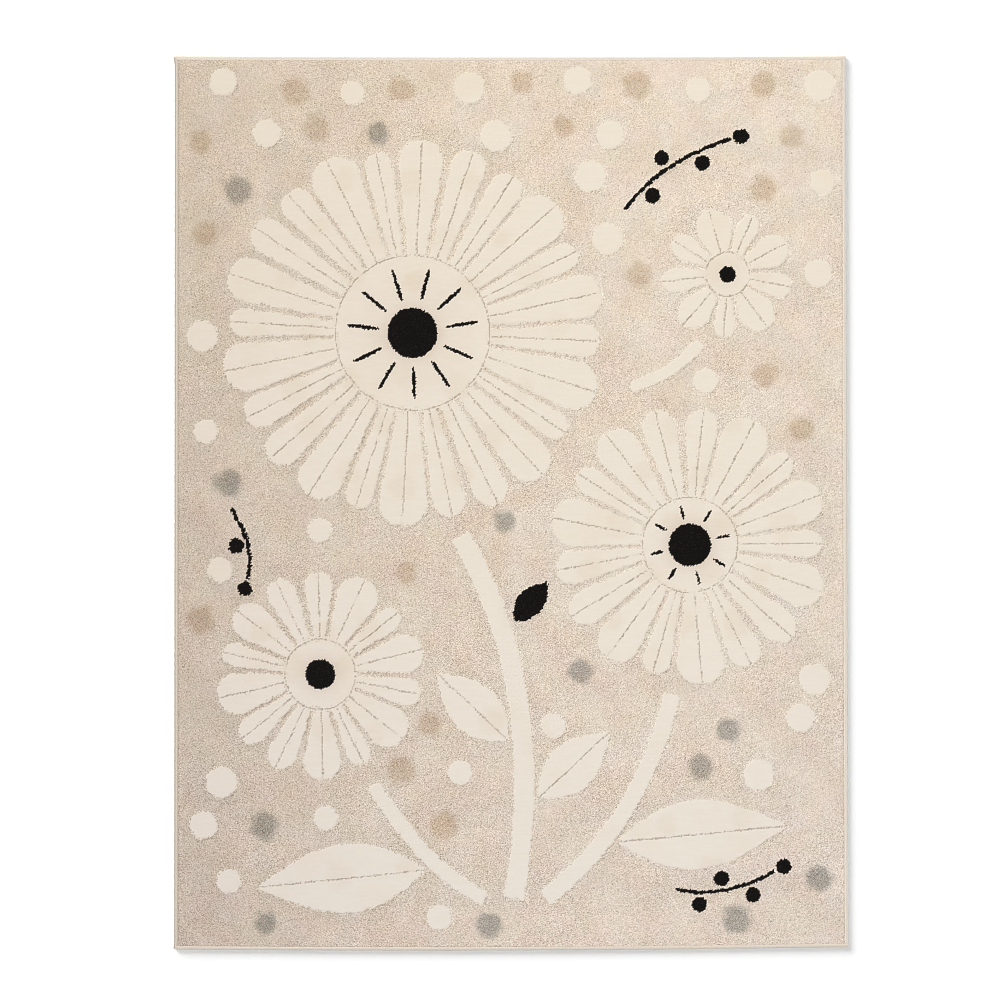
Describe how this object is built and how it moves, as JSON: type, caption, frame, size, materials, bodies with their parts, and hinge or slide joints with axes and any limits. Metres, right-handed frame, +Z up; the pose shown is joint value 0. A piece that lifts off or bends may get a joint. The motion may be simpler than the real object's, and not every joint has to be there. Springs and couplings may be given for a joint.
{
  "type": "kids rug",
  "caption": "Flat rectangular kids' rug with a heathered low pile, raised pale daisies, leaves and dots, dark accents and a serged edge.",
  "frame": {"origin": "middle of the underside, on the surface that the rug lies on", "axes": "+Y along the long side towards the flowers' end, +X to the right as seen from above, +Z up through the pile"},
  "size_m": [1.2066, 1.5998, 0.012],
  "materials": {
    "carpet_pile": "heathered beige cut pile with raised cream and black areas",
    "serging_yarn": "pale beige overlock yarn"
  },
  "bodies": {
    "root": {"carpet": "carpet_pile", "serging_bottom": "serging_yarn", "serging_right": "serging_yarn", "serging_top": "serging_yarn", "serging_left": "serging_yarn"}
  },
  "joints": []
}
